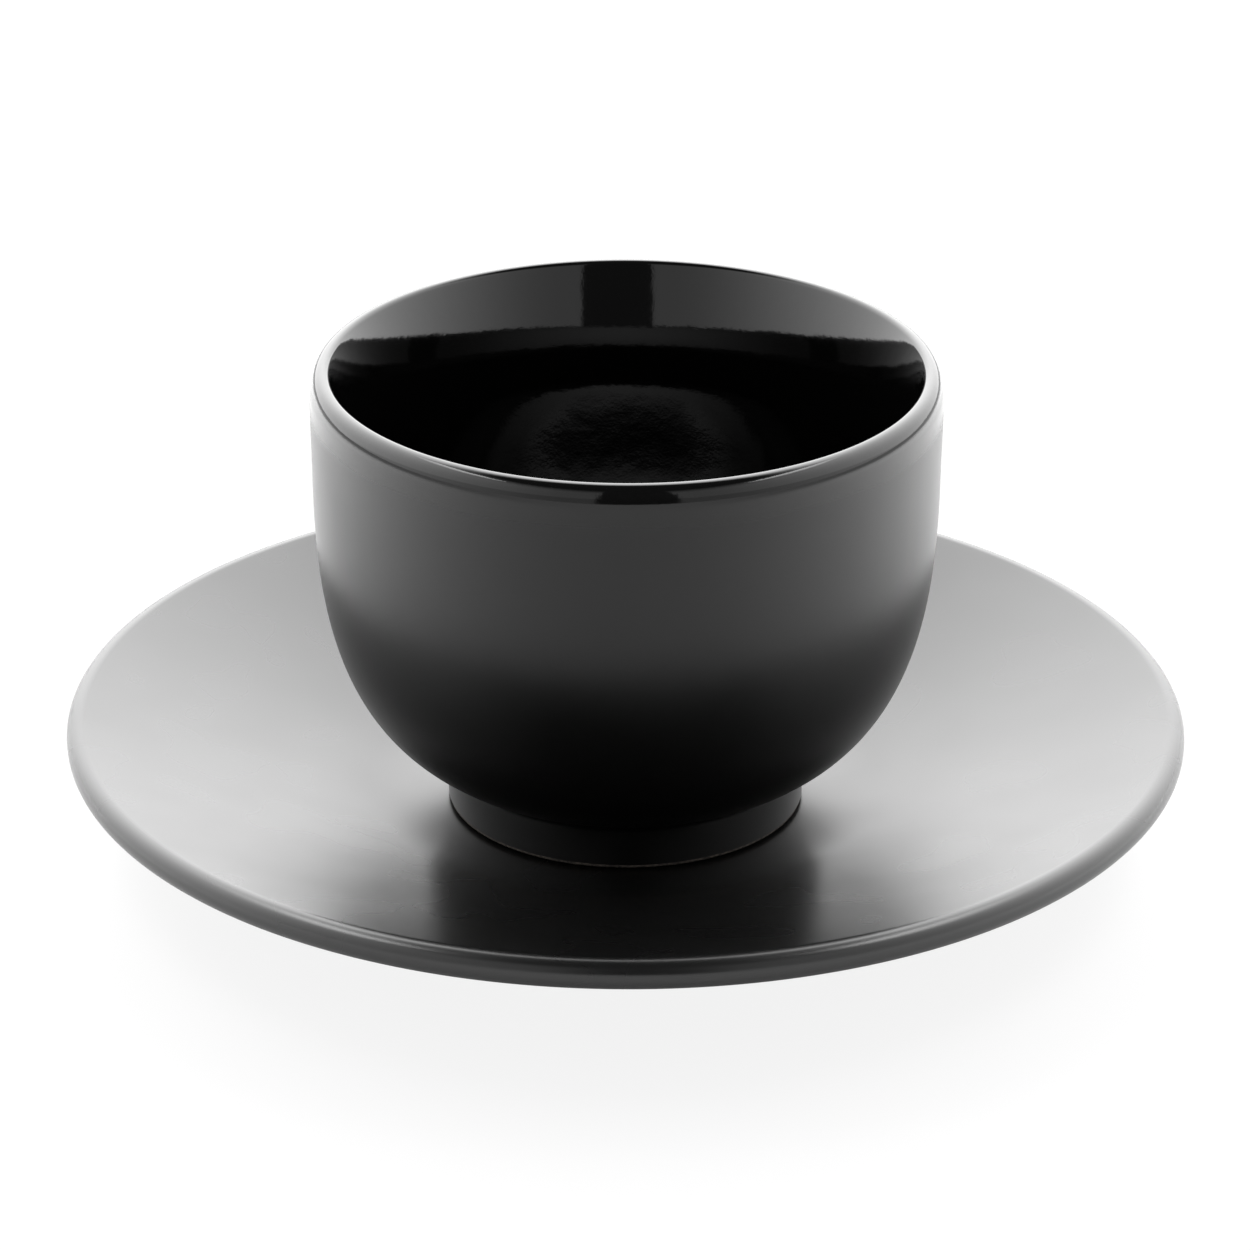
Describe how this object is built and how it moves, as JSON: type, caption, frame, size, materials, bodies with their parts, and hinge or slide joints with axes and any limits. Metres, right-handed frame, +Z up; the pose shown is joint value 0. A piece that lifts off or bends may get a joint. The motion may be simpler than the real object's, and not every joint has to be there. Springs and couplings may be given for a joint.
{
  "type": "cappuccino cup with saucer",
  "caption": "Round black glazed cup without a handle, thick-walled with a full belly and a bevelled lip, standing on the flat seat of a dished round saucer with a foot ring.",
  "frame": {"origin": "on the table, under the middle of the saucer's foot ring", "axes": "+Z up along the common axis of the saucer and the cup; X and Y lie level and are alike, because both pieces are round"},
  "size_m": [0.16, 0.16, 0.0735],
  "materials": {
    "saucer_glaze": "satin black glaze",
    "cup_glaze": "satin black glaze outside, glossy black glaze inside"
  },
  "bodies": {
    "saucer": {"saucer": "saucer_glaze"},
    "cup": {"cup": "cup_glaze"}
  },
  "joints": [
    {"name": "cup_lift", "type": "slide", "parent": "saucer", "child": "cup", "axis": [0, 0, 1], "range_m": [0, 0.08]}
  ]
}
